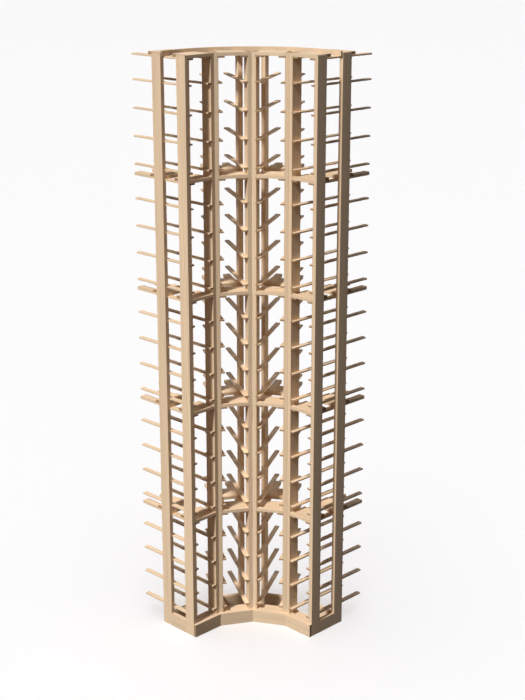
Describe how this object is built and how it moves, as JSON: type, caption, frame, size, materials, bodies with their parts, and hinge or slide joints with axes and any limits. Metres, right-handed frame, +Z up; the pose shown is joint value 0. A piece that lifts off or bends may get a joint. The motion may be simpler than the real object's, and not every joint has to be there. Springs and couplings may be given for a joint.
{
  "type": "corner wine rack",
  "caption": "Tall free-standing pine wine rack of straight bottle columns fanned round an inward curve that turns a right-angled corner.",
  "frame": {"origin": "middle of the box round the rack, on the floor", "axes": "+Z up, -Y out of the hollow front towards a person, +X to that person's right"},
  "size_m": [0.8266, 0.408, 2.1415],
  "materials": {
    "post_pine": "sanded, unfinished",
    "rail_pine": "sanded, unfinished",
    "header_pine": "sanded, unfinished",
    "plinth_pine": "sanded, unfinished",
    "block_pine": "rough sawn",
    "dowel_beech": "plain",
    "brad_steel": "tan coated",
    "screw_zinc": "zinc"
  },
  "bodies": {
    "root": {"front_post_1": "post_pine", "front_post_2": "post_pine", "front_post_3": "post_pine", "front_post_4": "post_pine", "front_post_5": "post_pine", "front_post_6": "post_pine", "front_post_7": "post_pine", "front_post_8": "post_pine", "rear_post_1": "post_pine", "rear_post_2": "post_pine", "rear_post_3": "post_pine", "rear_post_4": "post_pine", "rear_post_5": "post_pine", "rear_post_6": "post_pine", "rear_post_7": "post_pine", "rear_post_8": "post_pine", "bottle_rails_1": "rail_pine", "bottle_rails_2": "rail_pine", "bottle_rails_3": "rail_pine", "bottle_rails_4": "rail_pine", "bottle_rails_5": "rail_pine", "bottle_rails_6": "rail_pine", "bottle_rails_7": "rail_pine", "bottle_rails_8": "rail_pine", "cap_rails_1": "rail_pine", "cap_rails_2": "rail_pine", "cap_rails_3": "rail_pine", "cap_rails_4": "rail_pine", "cap_rails_5": "rail_pine", "cap_rails_6": "rail_pine", "cap_rails_7": "rail_pine", "cap_rails_8": "rail_pine", "tail_strips": "rail_pine", "top_strip": "rail_pine", "front_headers_1": "header_pine", "front_headers_2": "header_pine", "front_headers_3": "header_pine", "front_headers_4": "header_pine", "rear_headers_1": "header_pine", "rear_headers_2": "header_pine", "rear_headers_3": "header_pine", "rear_headers_4": "header_pine", "floor_board_1": "header_pine", "floor_board_2": "header_pine", "floor_board_3": "header_pine", "floor_board_4": "header_pine", "plinth_board_1": "plinth_pine", "plinth_board_2": "plinth_pine", "plinth_board_3": "plinth_pine", "plinth_board_4": "plinth_pine", "rear_base_board_1": "plinth_pine", "rear_base_board_2": "plinth_pine", "rear_base_board_3": "plinth_pine", "rear_base_board_4": "plinth_pine", "side_panel_left": "plinth_pine", "side_panel_right": "plinth_pine", "wedge_blocks": "block_pine", "brads": "brad_steel", "block_screws": "screw_zinc", "panel_dowels": "dowel_beech"}
  },
  "joints": []
}
